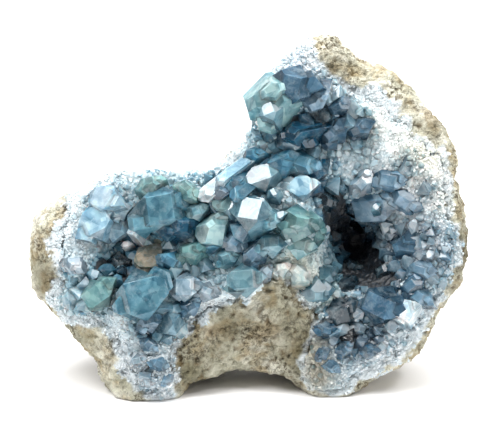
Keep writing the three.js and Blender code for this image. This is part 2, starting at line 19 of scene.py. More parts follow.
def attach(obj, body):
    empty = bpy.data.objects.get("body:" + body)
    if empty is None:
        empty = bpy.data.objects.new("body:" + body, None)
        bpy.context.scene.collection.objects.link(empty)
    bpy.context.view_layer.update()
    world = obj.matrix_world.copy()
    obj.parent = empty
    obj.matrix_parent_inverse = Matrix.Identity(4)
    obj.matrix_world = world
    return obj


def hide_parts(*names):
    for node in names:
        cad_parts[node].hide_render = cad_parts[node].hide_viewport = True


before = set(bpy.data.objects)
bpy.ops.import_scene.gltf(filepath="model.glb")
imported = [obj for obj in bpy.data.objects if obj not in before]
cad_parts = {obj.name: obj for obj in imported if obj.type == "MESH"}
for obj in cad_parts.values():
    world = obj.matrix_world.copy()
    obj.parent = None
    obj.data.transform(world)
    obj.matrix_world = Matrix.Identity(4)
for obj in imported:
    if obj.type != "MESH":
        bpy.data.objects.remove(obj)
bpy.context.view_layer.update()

# ---- Rind ----
# The wall of the nodule: tan, grainy limestone, knobbly outside and broken off rough round the open face.
# It was dug out whole, so its skin is weathered and its pits hold brown clay.

LEAN = math.radians(16)  # how far the open face leans back from upright
FACE_ORIGIN = (0.93, -47.8)  # where the foot of the face frame stands on the table, across and to the back
MM = 0.001
FOOT_FADE = 4  # height above the table in which the relief fades out, so that the feet stay flat
KNOB = 13  # widths of what roughens the rock: knobs, broken blocks, pits that hold clay, and grains
BLOCK = 6.5
PIT = 3.6
GRAIN = 2
CRACK = 0.22  # width of the cracks between blocks, as a share of a block

FACE_AXES = np.array([
    (1, 0, 0),
    (0, math.sin(LEAN), math.cos(LEAN)),
    (0, -math.cos(LEAN), math.sin(LEAN)),
])
FACE_SHIFT = np.array([*FACE_ORIGIN, 0])


def to_table(points):
    """Points of the face frame in millimetres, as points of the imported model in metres."""
    return (np.asarray(points, float) @ FACE_AXES + FACE_SHIFT) * MM


def to_face(points):
    """The other way round."""
    return (np.asarray(points, float) / MM - FACE_SHIFT) @ FACE_AXES.T


def add_piece(name, mesh, slot, *nodes):
    """Shows a mesh as a piece that stands for CAD nodes and moves with the stone."""
    piece = bpy.data.objects.new(name, mesh)
    bpy.context.scene.collection.objects.link(piece)
    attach(piece, "root")
    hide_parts(*nodes)


def fine_mesh(source, name, voxel, smoothings, cutter=None):
    """A CAD node's solid as an even fine mesh without its facets, kept inside the cutter."""
    helper = bpy.data.objects.new(name, source.data.copy())
    bpy.context.scene.collection.objects.link(helper)
    helper.modifiers.new("weld", "WELD").merge_threshold = 0.001 * MM
    if cutter:
        keep = helper.modifiers.new("keep", "BOOLEAN")
        keep.operation = "INTERSECT"
        keep.solver = "MANIFOLD"
        keep.object = cutter
    remesh = helper.modifiers.new("remesh", "REMESH")
    remesh.mode = "VOXEL"
    remesh.voxel_size = voxel * MM
    smooth = helper.modifiers.new("smooth", "SMOOTH")
    smooth.factor = 0.5
    smooth.iterations = smoothings
    made = bpy.data.meshes.new_from_object(helper.evaluated_get(bpy.context.evaluated_depsgraph_get()))
    made.name = name
    made.materials.clear()
    bpy.data.objects.remove(helper)
    return made


def vectors_of(items, field):
    """One vector of every vertex or polygon, as rows of an array."""
    values = np.empty(len(items) * 3, np.float32)
    items.foreach_get(field, values)
    return values.reshape(-1, 3).astype(float)


def displace(mesh, height):
    """Moves every vertex along its normal by height(place in millimetres, face frame), in millimetres."""
    places = vectors_of(mesh.vertices, "co")
    normals = vectors_of(mesh.vertices, "normal")
    heights = np.array([height(Vector(point)) for point in to_face(places)])
    calm = np.clip(places[:, 2:] / (FOOT_FADE * MM), 0, 1)
    places += normals * heights[:, None] * calm * MM
    places[:, 2] = np.maximum(places[:, 2], 0)
    mesh.vertices.foreach_set("co", places.astype(np.float32).ravel())
    mesh.update()


def pit_depth(place):
    """How deep the pits that hold clay go at a place, as a share."""
    return max(0, noise.noise(place / PIT) - 0.25)


def limestone_height(place):
    """Knobs, broken blocks with cracks between them, pits and grains, in millimetres."""
    knobs = noise.fractal(place / KNOB, 0.8, 2.1, 3)
    near, far = noise.voronoi(place / BLOCK + Vector((0.2, 0.2, 0.2)) * knobs)[0][:2]
    crack = max(0, CRACK - (far - near)) / CRACK
    grains = noise.fractal(place / GRAIN, 0.9, 2.0, 2)
    return 2.0 * knobs + 0.9 * (0.5 - near) - 1.1 * crack ** 2 - 5 * pit_depth(place) + 0.75 * grains


def linear(colour):
    """An sRGB hex colour as a linear one."""
    channels = [int(colour[i:i + 2], 16) / 255 for i in (0, 2, 4)]
    return [c / 12.92 if c <= 0.04045 else ((c + 0.055) / 1.055) ** 2.4 for c in channels] + [1]


def add(tree, kind, inputs=None, ramp=None, **settings):
    """Adds a node with its settings. An input is a value or the socket that it is linked to."""
    made = tree.nodes.new("ShaderNode" + kind)
    for name, value in settings.items():
        setattr(made, name, value)
    for stop, (place, colour) in enumerate(ramp or []):
        elements = made.color_ramp.elements
        element = elements[stop] if stop < 2 else elements.new(place)
        element.position = place
        element.color = linear(colour)
    for name, value in (inputs or {}).items():
        if isinstance(value, bpy.types.NodeSocket):
            tree.links.new(value, made.inputs[name])
        else:
            made.inputs[name].default_value = value
    return made


def new_material(name):
    """An empty material and its node tree."""
    material = bpy.data.materials.new(name)
    material.use_nodes = True
    material.node_tree.nodes.clear()
    return material, material.node_tree


def weathered_limestone():
    """Limestone, weathered and clay-stained: matt tan with cream and ochre patches, pits and dark specks.

    Its grains are about 1 mm wide."""
    material, tree = new_material("limestone_weathered")
    place = add(tree, "TexCoord").outputs["Object"]
    patches = add(tree, "TexNoise", {"Vector": place, "Scale": 1 / 0.016, "Detail": 5, "Roughness": 0.6})
    stone = add(tree, "ValToRGB", {"Fac": patches.outputs["Fac"]}, ramp=[
        (0.3, "A3A18A"), (0.45, "D6D4BF"), (0.58, "F3F1E0"), (0.72, "FDFCF0"),
    ])
    ochre = add(tree, "TexNoise", {"Vector": place, "Scale": 1 / 0.011, "Detail": 3, "Roughness": 0.55})
    ochre_mask = add(tree, "ValToRGB", {"Fac": ochre.outputs["Fac"]}, ramp=[
        (0.47, "000000"), (0.62, "C0C0C0"),
    ])
    stained = add(tree, "MixRGB", {
        "Fac": ochre_mask.outputs["Color"], "Color1": stone.outputs["Color"], "Color2": linear("B0945A"),
    })
    specks = add(tree, "TexNoise", {"Vector": place, "Scale": 1 / 0.0019, "Detail": 5, "Roughness": 0.8})
    speck_mask = add(tree, "ValToRGB", {"Fac": specks.outputs["Fac"]}, ramp=[
        (0.42, "FFFFFF"), (0.54, "000000"),
    ])
    dirt = add(tree, "TexNoise", {"Vector": place, "Scale": 1 / 0.02, "Detail": 4, "Roughness": 0.6})
    dirt_mask = add(tree, "ValToRGB", {"Fac": dirt.outputs["Fac"]}, ramp=[
        (0.42, "585858"), (0.6, "FFFFFF"),
    ])
    dirty = add(tree, "MixRGB", {
        "Fac": 1.0, "Color1": speck_mask.outputs["Color"], "Color2": dirt_mask.outputs["Color"],
    }, blend_type="MULTIPLY")
    speckled = add(tree, "MixRGB", {
        "Fac": dirty.outputs["Color"], "Color1": stained.outputs["Color"], "Color2": linear("5E5540"),
    })
    # The tint's green darkens with clay and also with painted shade; red is sugar cover and blue is pits.
    tint = add(tree, "Attribute", attribute_name="tint")  # red for sugar, green for clay, blue for pits
    parts = add(tree, "SeparateColor", {"Color": tint.outputs["Color"]})
    clay_and_shade_darkened = add(tree, "MixRGB", {
        "Fac": parts.outputs["Green"], "Color1": speckled.outputs["Color"], "Color2": linear("9A9684"),
    }, blend_type="MULTIPLY")
    pitted = add(tree, "MixRGB", {
        "Fac": parts.outputs["Blue"], "Color1": clay_and_shade_darkened.outputs["Color"], "Color2": linear("6E5A38"),
    })
    coated = add(tree, "MixRGB", {
        "Fac": parts.outputs["Red"], "Color1": pitted.outputs["Color"], "Color2": linear("E8F0F3"),
    })
    grains = add(tree, "TexNoise", {"Vector": place, "Scale": 1 / 0.0009, "Detail": 3, "Roughness": 0.7})
    bump = add(tree, "Bump", {"Height": grains.outputs["Fac"], "Strength": 1.0, "Distance": 0.0018})
    shader = add(tree, "BsdfPrincipled", {
        "Base Color": coated.outputs["Color"], "Roughness": 0.92, "IOR": 1.5,
        "Normal": bump.outputs["Normal"],
    })
    add(tree, "OutputMaterial", {"Surface": shader.outputs["BSDF"]})
    return material


def swell(x, u, patches):
    """The sum of round swells, each of which falls off to a quarter at its radius."""
    total = np.zeros(np.shape(x))
    for centre_x, centre_u, radius, height in patches:
        total += height * 4.0 ** -(((x - centre_x) ** 2 + (u - centre_u) ** 2) / radius ** 2)
    return total


def swell_at(places, patches):
    """The same for places given as rows."""
    return swell(places[:, 0], places[:, 1], patches)


def paint(mesh, colours, domain="POINT"):
    """Gives each vertex, or each corner of each face, its own colour, which materials read as its tint."""
    layer = mesh.color_attributes.new("tint", "FLOAT_COLOR", domain)
    layer.data.foreach_set("color", np.asarray(colours, np.float32).ravel())


# How far sugar from the hollow runs over the broken edge of the rind, in millimetres: x, u, radius, reach.
SUGAR_REACH = 2.0
SUGAR_RUNS = [
    (-60, 116, 28, 16), (-20, 118, 28, 16), (3, 148, 20, 14), (20, 176, 14, 12), (104, 70, 22, 0.5),
    (98, 110, 20, 3), (70, 13, 23, 7), (-95, 50, 12, 10), (-96, 81, 10, 8), (-60, 18, 14, 3),
    (90, 45, 18, 3), (66, 148, 12, 9), (-28, 38, 9, 5),
]

# Where clay has darkened the rock, and painted shade on the rock face under the ledge and between the
# feet, as round patches: x, u, radius, share.
CLAY_AND_SHADE_PATCHES = [
    (-18, 26, 11, 0.6), (25, 34, 18, 0.8), (14, 46, 12, 0.4), (30, 18, 12, 1), (0, 46, 10, 0.3),
    (2, 32, 12, 0.3), (-12, 40, 11, 0.6), (-31, 15, 12, 1), (40, 170, 7, 0.6), (46, 166, 7, 0.6),
    (92, 136, 7, 0.8), (85, 142, 9, 0.2), (-103, 64, 11, 0.8), (-98, 55, 8, 0.3), (-78, 30, 10, 0.4),
    (110, 84, 12, 0.7), (106, 60, 12, 0.5), (110, 72, 8, 1),
]


def sugar_cover(places, crust):
    """How fully sugar covers places of the rind, from 0 to 1, by their distance from the crust."""
    reach = SUGAR_REACH + swell_at(places, SUGAR_RUNS)
    cover = np.empty(len(places))
    for index, point in enumerate(to_table(places)):
        away = crust.find_nearest(Vector(point))[3] / MM
        ragged = 1 + 0.9 * noise.fractal(Vector(places[index]) / 6, 0.8, 2.0, 3)
        cover[index] = (reach[index] * ragged - away) / 2 + 0.5
    return np.clip(cover, 0, 1)


def tree_of(mesh):
    """The mesh as a tree to find the nearest point in."""
    corners = [vertex.co for vertex in mesh.vertices]
    return BVHTree.FromPolygons(corners, [polygon.vertices for polygon in mesh.polygons])


rind_mesh = fine_mesh(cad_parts["rind"], "limestone_rind", voxel=1.15, smoothings=14)
displace(rind_mesh, limestone_height)
rind_places = to_face(vectors_of(rind_mesh.vertices, "co"))
rind_cover = sugar_cover(rind_places, tree_of(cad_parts["crystal_crust"].data))
# Clay stains, and painted shade on the rock face under the ledge and between the feet.
rind_clay_and_shade = swell_at(rind_places, CLAY_AND_SHADE_PATCHES)
rind_clay_and_shade = np.minimum(rind_clay_and_shade + np.clip(-0.5 - rind_places[:, 2] / 60, 0, 0.5), 1)  # the back lay in it
rind_pits = np.minimum([3 * pit_depth(Vector(place)) for place in rind_places], 0.9)
# The share that browns the pits holds painted shade as well as clay.
rind_pits *= 0.55 + 0.45 * rind_clay_and_shade  # browner where there is clay
paint(rind_mesh, np.column_stack([rind_cover, rind_clay_and_shade, rind_pits, np.ones(len(rind_cover))]))
rind_mesh.materials.append(weathered_limestone())
add_piece("limestone_rind", rind_mesh, "limestone", "rind")

# ---- Sugary layer ----
# The crust that lines the hollow: small celestite grains grown together, white at the rim, bluer inwards.
# It grew on the limestone, and every larger crystal has its root in it.

# How the open face rises and falls from n = 4, as round swells: x, u, radius, height.
FACE_LEVEL = 4
SWELLS = [
    (54, 79, 20, -40), (60, 92, 40, -10), (24, 88, 16, 16), (2, 99, 20, 9), (20, 150, 19, 12),
    (50, 128, 18, -4), (86, 118, 22, 4), (98, 82, 18, 3), (-62, 80, 19, -14), (-38, 92, 18, 4),
    (-55, 50, 15, 8), (-92, 84, 16, 3), (2, 54, 18, 9), (0, 18, 20, -14), (-48, 16, 16, 3),
    (52, 42, 13, -9), (44, 10, 20, -6), (84, 40, 20, -2),
]

# How blue the celestite is, as round patches: x, u, radius, share. Between them it is white.
BLUE_PATCHES = [
    (-41, 95, 18, 0.75), (-57, 71, 18, 0.6), (-72, 93, 14, 0.3), (-50, 56, 17, 0.5), (-78, 56, 14, 0.45),
    (-90, 67, 8, 0.4), (-12, 96, 20, 0.75), (0, 78, 17, 0.5), (-25, 71, 16, 0.45), (-2, 61, 10, 0.15),
    (22, 88, 14, 0.3), (20, 136, 19, 0.65), (50, 133, 12, 0.5), (20, 118, 18, 0.5), (52, 81, 18, 0.7),
    (62, 100, 16, 0.36), (80, 80, 18, 0.3), (64, 48, 18, 0.5), (50, 26, 17, 0.35), (-50, 36, 12, 0.45),
    (-52, 13, 12, 0.35), (-38, 41, 9, 0.2), (98, 70, 22, 0.4), (40, 40, 12, 0.3), (82, 50, 14, 0.3),
    (-42, 38, 9, 0.4), (70, 28, 13, 0.15), (18, 170, 18, 0.35), (-60, 112, 20, 0.1),
    (-20, 116, 14, 0.2), (5, 140, 12, 0.25), (40, 12, 14, 0.2), (-50, 4, 12, 0.2), (-88, 52, 9, 0.3),
    (43, 148, 9, 0.6), (42, 108, 8, 0.5), (36, 101, 7, 0.4), (80, 120, 8, 0.35), (88, 106, 7, 0.4),
    (108, 84, 10, 0.35), (106, 64, 10, 0.3), (45, 62, 9, 0.4),
    (84, 88, 9, 0.2), (34, 165, 7, 0.3), (53, 143, 7, 0.4), (60, 123, 8, 0.2), (76, 116, 6, 0.2),
    (52, 31, 8, 0.4), (92, 90, 9, 0.15), (80, 72, 10, 0.3),
]

# Where the blue is greyer, and the deep gaps, which are painted shade that darkens towards near black: x,
# u, radius, share.
SLATE_PATCHES = [
    (85, 80, 30, 0.9), (60, 30, 30, 0.9), (45, 140, 30, 0.4), (90, 120, 25, 0.9), (-55, 10, 28, 0.8),
    (25, 170, 18, 0.9),
]
SHADED_DEEP_GAPS = [
    (43, 93, 9, 1), (51, 85, 12, 1.2), (60, 74, 12, 1.2), (56, 64, 9, 1), (46, 66, 7, 0.7),
    (68, 62, 7, 0.5), (42, 104, 7, 1), (36, 100, 4, 0.6), (27, 157, 3, 0.8), (24, 139, 5, 0.7),
    (41, 147, 4, 0.5),
    (3, 106, 3, 0.5), (-74, 68, 6, 1), (-62, 79, 4, 0.7), (-65, 62, 5, 0.8), (-84, 46, 3, 0.8),
    (40, 45, 6, 0.5), (61, 33, 5, 0.6), (-42, 42, 5, 0.4), (44, 30, 5, 0.5), (76, 117, 3, 1),
    (43, 119, 3, 0.7), (88, 106, 3, 0.5), (66, 56, 6, 0.6), (50, 31, 4, 0.4), (74, 62, 5, 0.5),
]


BLUEST = 0.85  # the largest share of blue

GROUND_ACROSS = (-130, 131)  # reach of the block under the open face, which covers the whole stone
GROUND_UP = (-25, 206)
GROUND_DEPTH = 80
GROUND_SPACING = 3.0


def face_height(x, u):
    """How far out the open face stands at a place."""
    return FACE_LEVEL + swell(x, u, SWELLS)


def blue_share(x, u):
    """How blue the celestite is at a place."""
    return np.minimum(swell(x, u, BLUE_PATCHES), BLUEST)


def blue_share_at(places):
    """The same for places given as rows."""
    return blue_share(places[:, 0], places[:, 1])


def ground_block(name):
    """A block whose top is the open face and whose foot lies deep, to cut off what stands on the face."""
    across = np.arange(*GROUND_ACROSS, GROUND_SPACING)
    up = np.arange(*GROUND_UP, GROUND_SPACING)
    x, u = np.meshgrid(across, up, indexing="ij")
    top = np.stack([x, u, face_height(x, u)], -1).reshape(-1, 3)
    foot = np.stack([x, u, np.full_like(x, -GROUND_DEPTH)], -1).reshape(-1, 3)
    count = len(top)
    rows, columns = len(across), len(up)

    def at(i, j, level):
        return i * columns + j + level * count

    faces = []
    for i in range(rows - 1):
        for j in range(columns - 1):
            ring = [(i, j), (i + 1, j), (i + 1, j + 1), (i, j + 1)]
            faces.append([at(*corner, 0) for corner in ring])
            faces.append([at(*corner, 1) for corner in reversed(ring)])
    rim = [(i, 0) for i in range(rows)] + [(rows - 1, j) for j in range(1, columns)]
    rim += [(i, columns - 1) for i in range(rows - 2, -1, -1)]
    rim += [(0, j) for j in range(columns - 2, 0, -1)]
    for here, there in zip(rim, rim[1:] + rim[:1]):
        faces.append([at(*there, 0), at(*here, 0), at(*here, 1), at(*there, 1)])
    mesh = bpy.data.meshes.new(name)
    mesh.from_pydata(to_table(np.concatenate([top, foot])), [], faces)
    block = bpy.data.objects.new(name, mesh)
    bpy.context.scene.collection.objects.link(block)
    return block


def sugar_height(place):
    """Blocks of 3.6 mm and grains of 2.2 mm on lumps of 9 mm, in millimetres."""
    lumps = noise.fractal(place / 9, 0.9, 2.0, 2)
    blocks = noise.voronoi(place / 3.6, distance_metric="CHEBYCHEV")[0][0]
    grains = noise.voronoi(place / 2.2, distance_metric="MANHATTAN")[0][0]
    return 0.9 * lumps + 1.3 * (0.45 - blocks) + 0.7 * (0.5 - grains)


# The dark end of each row, down to near black, is painted shade, reached in the deep gaps and at the roots
# of small crystals.
TEAL_TONES = ["EDF2F3", "CCE0E6", "A2C6D2", "669BB0", "2E647C", "04121C"]  # by how blue it is
SLATE_TONES = ["EEEFF0", "D2D6DA", "B0B8C0", "8896A6", "4A6072", "04101A"]

# Where it is creamy instead of white: x, u, radius, share.
CREAM = "FFF8E4"
CREAM_PATCHES = [
    (22, 68, 14, 1), (36, 56, 10, 0.8), (88, 126, 18, 1), (100, 100, 12, 0.6), (60, 140, 12, 0.5),
]

# Where clay has dusted the edge of the crust brown: x, u, radius, share.
CLAY_DUST = "9C9078"
DUSTY_EDGES = [(32, 26, 10, 1), (34, 12, 11, 1), (-32, 16, 6, 0.6), (108, 74, 6, 0.5)]


def tone(share, places):
    """The colour of celestite that is blue by a share, teal, slate, creamy or dusty after its place.
    Shares beyond the bluest, added in the deep gaps and at the roots of small crystals, go towards near
    black as painted shade.
    """
    place = np.clip(share, 0, 1) * (len(TEAL_TONES) - 1)
    below = np.minimum(place.astype(int), len(TEAL_TONES) - 2)
    rest = (place - below)[..., None]
    slate = np.minimum(swell_at(places, SLATE_PATCHES), 1)[..., None]
    colour = 0
    for tones, part in ((TEAL_TONES, 1 - slate), (SLATE_TONES, slate)):
        table = np.array([linear(stop) for stop in tones])
        colour = colour + part * (table[below] * (1 - rest) + table[below + 1] * rest)
    cream = np.minimum(swell_at(places, CREAM_PATCHES), 1)[..., None]
    colour = colour * (1 - cream * (1 - np.array(linear(CREAM))))
    dust = 0.85 * np.minimum(swell_at(places, DUSTY_EDGES), 1)[..., None]
    return colour * (1 - dust) + np.array(linear(CLAY_DUST)) * dust


def sugary_celestite():
    """Celestite, grown as sugar-like grains: translucent white to blue, in small faces of 1.3 mm."""
    material, tree = new_material("celestite_sugary")
    place = add(tree, "TexCoord").outputs["Object"]
    tint = add(tree, "Attribute", attribute_name="tint")
    clouds = add(tree, "TexNoise", {"Vector": place, "Scale": 1 / 0.005, "Detail": 4, "Roughness": 0.65})
    cloud_mask = add(tree, "ValToRGB", {"Fac": clouds.outputs["Fac"]}, ramp=[
        (0.35, "AABFCA"), (0.62, "FFFFFF"),
    ])
    clouded = add(tree, "MixRGB", {
        "Fac": 0.75, "Color1": tint.outputs["Color"], "Color2": cloud_mask.outputs["Color"],
    }, blend_type="MULTIPLY")
    facets = add(tree, "TexVoronoi", {"Vector": place, "Scale": 1 / 0.0013}, feature="F1")
    bump = add(tree, "Bump", {"Height": facets.outputs["Distance"], "Strength": 0.4, "Distance": 0.0005})
    shader = add(tree, "BsdfPrincipled", {
        "Base Color": clouded.outputs["Color"], "Roughness": 0.5, "IOR": 1.62,
        "Subsurface Weight": 0.8, "Subsurface Radius": (1, 1, 1), "Subsurface Scale": 0.0025,
        "Normal": bump.outputs["Normal"],
    })
    add(tree, "OutputMaterial", {"Surface": shader.outputs["BSDF"]})
    return material


ground = ground_block("ground")
sugar_mesh = fine_mesh(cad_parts["crystal_crust"], "sugary_layer", 0.95, smoothings=6, cutter=ground)
bpy.data.objects.remove(ground)
displace(sugar_mesh, sugar_height)
sugar_places = to_face(vectors_of(sugar_mesh.vertices, "co"))
# The deep gaps add painted shade, darkening the layer towards near black.
sugar_shares = blue_share_at(sugar_places) + swell_at(sugar_places, SHADED_DEEP_GAPS)
paint(sugar_mesh, tone(sugar_shares, sugar_places))
sugar_mesh.materials.append(sugary_celestite())
add_piece("sugary_layer", sugar_mesh, "celestite", "crystal_crust")

# ---- Large crystals ----
# Blocky celestite crystals, most of them 8 to 29 mm wide, rooted in the sugary layer, leaning every way.
# Each is a prism under two pairs of domes that meet a flat crown, at the angles of the mineral.

PRISM_ANGLE = math.radians(76)
LONG_DOME = math.radians(39)
SHORT_DOME = math.radians(52)
SIX_SIDED = 14  # width above which a crystal has all six faces of its prism
ROOT = 7  # how deep in the layer a crystal begins
ROOT_TINT_DEPTH = 3  # how deep in the layer its tint has become the root's

# Place of the head, how far it stands out, width, thickness, lean right and up, spin, crown, finish.
CRYSTALS = [
    (1, 148, 13, 25, 23, -50, -12, 20, 0.3, "pale"),
    (6, 139, 9, 12, 11, -40, -12, 10, 0.4, "pale"),
    (9, 145, 15, 7, 8, -17, 22, 20, 0.7, "clear"),
    (19, 158, 12, 22, 18, -14, 4, -15, 0.4, "dusk"),
    (16, 133, 6, 12, 11, -58, -20, 10, 0.3, "deep"),
    (31, 147, 8, 12, 10, -10, -35, 25, 0.4, "slate"),
    (34, 139, 6, 10, 9, 5, -50, -15, 0.2, "smoky"),
    (40, 133, 7, 15, 13, -12, -14, 40, 0.3, "dusk"),
    (53, 135, 6, 12, 11, -20, -14, 25, 0.3, "dusk"),
    (43, 146, 5, 12, 10, -4, -6, 30, 0.3, "dusk"),
    (25, 131, 6, 10, 9, -20, -10, -35, 0.3, "deep"),
    (13, 119, 7, 17, 14, -14, 6, 20, 0.3, "blue"),
    (26, 120, 7, 16, 14, 8, 8, -20, 0.4, "blue"),
    (35, 115, 5, 12, 11, 18, -8, 35, 0.4, "deep"),
    (0, 124, 5, 10, 8, -30, 15, 0, 0.3, "blue"),
    (4, 113, 8, 13, 12, -15, 25, 18, 0.8, "clear"),
    (-1, 97, 9, 12, 16, -15, 24, -12, 0.8, "clear"),
    (11, 105, 9, 3, 5, -15, 24, 30, 0.8, "clear"),
    (15, 94, 7, 5, 4, -15, 24, 10, 0.8, "clear"),
    (26, 108, 7, 14, 11, 0, 20, 8, 0.8, "milky"),
    (-20, 103, 7, 10, 10, -56, -34, 0, 0.2, "dusk"),
    (-12, 106, 7, 10, 9, -42, -30, 20, 0.3, "blue"),
    (-20, 89, 9, 19, 15, -10, 18, 35, 0.2, "pale"),
    (-21, 80, 5, 12, 11, -10, -5, 10, 0.4, "blue"),
    (26, 90, 8, 18, 16, 16, 6, -10, 0.3, "moss"),
    (34, 83, 5, 11, 10, 26, 5, 25, 0.4, "moss"),
    (25, 78, 5, 12, 11, 0, 6, -10, 0.4, "pale"),
    (2, 74, 6, 13, 12, -6, 0, 40, 0.4, "slate"),
    (10, 80, 6, 12, 11, 0, 14, 5, 0.5, "teal"),
    (-8, 81, 5, 11, 10, 0, 20, -35, 0.4, "slate"),
    (-12, 72, 5, 11, 10, -10, -6, 20, 0.4, "teal"),
    (-3, 61, 7, 17, 14, 0, 4, 5, 0.7, "sea"),
    (40, 61, 5, 12, 10, 22, -10, 35, 0.3, "clear"),
    (34, 53, 5, 15, 11, 10, -20, 0, 0.3, "clear"),
    (24, 66, 7, 11, 9, 0, 20, -40, 0.4, "creamy"),
    (15, 68, 4, 8, 7, -4, 24, 10, 0.5, "creamy"),
    (8, 66, 4, 7, 6, 0, 20, 40, 0.5, "mist"),
    (34, 107, 5, 12, 10, 28, 0, 15, 0.4, "deep"),
    (40, 99, 6, 15, 12, 40, -16, -20, 0.3, "smoky"),
    (-45, 96, 9, 29, 22, 4, 6, 10, 0.5, "lagoon"),
    (-34, 88, 6, 18, 15, 10, 0, -5, 0.3, "deep"),
    (-32, 108, 6, 12, 10, -10, 34, -45, 0.4, "green"),
    (-27, 96, 6, 9, 8, -10, 10, 15, 0.5, "sea"),
    (-50, 111, 5, 12, 10, -14, 40, 10, 0.4, "green"),
    (-73, 102, 6, 14, 13, -20, 20, -25, 0.7, "milky"),
    (-65, 96, 7, 9, 8, -6, 16, 20, 0.5, "milky"),
    (-78, 91, 7, 18, 15, -12, 12, 25, 0.7, "milky"),
    (-68, 89, 7, 13, 12, 2, 14, -10, 0.5, "milky"),
    (-50, 74, 7, 18, 13, 2, 22, 40, 0.8, "stained"),
    (-57, 87, 17, 4, 6, -14, 22, 10, 0.6, "frost"),
    (-62, 79, 8, 5, 4, -15, 24, 0, 0.6, "frost"),
    (-32, 76, 6, 15, 10, -24, 14, 5, 0.3, "moss"),
    (-40, 70, 5, 12, 10, 0, -8, -30, 0.4, "blue"),
    (-53, 55, 8, 27, 22, 5, 2, 15, 0.7, "lagoon"),
    (-44, 64, 5, 12, 10, 6, 6, -15, 0.4, "lagoon"),
    (-76, 54, 6, 16, 14, -12, -6, 35, 0.7, "green"),
    (-32, 58, 7, 14, 12, -4, 8, 0, 0.6, "mist"),
    (-90, 68, 4, 10, 9, -22, 0, -35, 0.3, "mist"),
    (-50, 41, 5, 11, 9, 4, 12, 15, 0.4, "slate"),
    (-22, 56, 5, 11, 9, 0, 6, -20, 0.4, "mist"),
    (-30, 48, 4, 11, 9, 4, 0, 30, 0.4, "slate"),
    (-65, 69, 4, 11, 9, 4, -8, -5, 0.3, "smoky"),
    (-50, 29, 3, 8, 7, 4, 6, -40, 0.4, "slate"),
    (-56, 21, 3, 7, 6, -8, 0, 10, 0.4, "mist"),
    (-45, 19, 3, 8, 7, 8, -4, -25, 0.4, "slate"),
    (-41, 11, 2, 6, 5, 10, -8, 25, 0.4, "slate"),
    (-51, 10, 2, 6, 5, -6, -8, -10, 0.4, "mist"),
    (61, 96, 10, 22, 19, -28, -28, 10, 0.7, "slate"),
    (63, 98, 12, 4, 4, -15, 24, 40, 0.7, "clear"),
    (76, 99, 5, 17, 13, -20, -16, -30, 0.4, "slate"),
    (73, 77, 9, 19, 19, -48, -2, 25, 0.2, "dusk"),
    (84, 66, 4, 12, 10, -20, 0, -15, 0.4, "slate"),
    (79, 58, 4, 12, 11, -22, 8, 40, 0.4, "dusk"),
    (64, 49, 8, 21, 18, -26, 10, -25, 0.6, "dusk"),
    (84, 53, 4, 11, 10, -16, 14, -35, 0.4, "slate"),
    (77, 47, 9, 11, 10, -10, 20, 15, 0.5, "frost"),
    (54, 45, 7, 8, 6, -10, 20, 30, 0.5, "mist"),
    (45, 43, 6, 18, 15, 6, -10, 15, 0.4, "smoky"),
    (38, 36, 3, 9, 8, 6, -4, -15, 0.4, "dusk"),
    (56, 37, 4, 10, 9, 10, 6, -20, 0.3, "mist"),
    (47, 26, 4, 9, 8, -4, -6, 35, 0.3, "dusk"),
    (60, 26, 3, 8, 7, 2, 8, -5, 0.3, "dusk"),
    (40, 18, 3, 8, 7, -8, 0, -40, 0.4, "slate"),
    (35, 24, 3, 7, 6, -16, 0, 30, 0.4, "dusk"),
    (68, 111, 4, 14, 12, -16, -6, -10, 0.5, "slate"),
    (55, 109, 5, 12, 11, -10, -8, 45, 0.4, "mist"),
    (52, 68, 6, 10, 9, -6, 20, -30, 0.3, "smoky"),
    (66, 66, 6, 12, 10, -34, 18, 25, 0.3, "smoky"),
    (49, 60, 6, 11, 9, 6, 24, 20, 0.3, "smoky"),
]

# Crystals 8 to 10 mm wide between the large ones, most of which lean far over, given in the same way.
SLENDER_CRYSTALS = [
    (-25, 101, 6, 9, 8, -64, -58, 10, 0.3, "frost"),
    (-18, 97, 5, 8, 7, -66, -60, -20, 0.3, "pale"),
    (-17, 107, 7, 8, 7, -62, -55, 30, 0.3, "milky"),
    (-9, 101, 7, 8, 7, -60, -58, 0, 0.3, "blue"),
    (14, 92, 6, 10, 9, 35, 10, -10, 0.4, "teal"),
]


def crystal_planes(width, thickness, crown, uneven, short_domes=True):
    """The planes of a crystal along Z with its head at the origin, as normals and distances."""
    def facing(turn, tilt):
        return Vector((math.sin(tilt) * math.cos(turn), math.sin(tilt) * math.sin(turn), math.cos(tilt)))

    upright = math.pi / 2
    planes = [(facing(0, 0), 0.0)]
    for turn in (0, math.pi):
        across = turn + upright
        planes.append((facing(across - PRISM_ANGLE / 2, upright), thickness / 2 * uneven(0.2)))
        planes.append((facing(across + PRISM_ANGLE / 2, upright), thickness / 2 * uneven(0.2)))
        planes.append((facing(turn, LONG_DOME), width / 2 * crown * math.sin(LONG_DOME) * uneven(0.6)))
        if short_domes:
            reach = thickness / 2 * crown * math.sin(SHORT_DOME)
            planes.append((facing(across, SHORT_DOME), reach * uneven(0.6)))
        if width > SIX_SIDED:
            planes.append((facing(turn, upright), width / 2 * uneven(0.2)))
    return planes


def hull_of_planes(planes):
    """The corners of the convex solid inside a set of planes."""
    normals = np.array([normal for normal, _ in planes])
    distances = np.array([distance for _, distance in planes])
    index = np.array([
        (a, b, c)
        for a in range(len(planes)) for b in range(a + 1, len(planes)) for c in range(b + 1, len(planes))
    ])
    triples = normals[index]
    solid = np.abs(np.linalg.det(triples)) > 1e-3  # planes that are nearly parallel meet nowhere near
    corners = np.linalg.solve(triples[solid], distances[index[solid]][..., None])[..., 0]
    return corners[(corners @ normals.T < distances + 1e-4).all(1)]


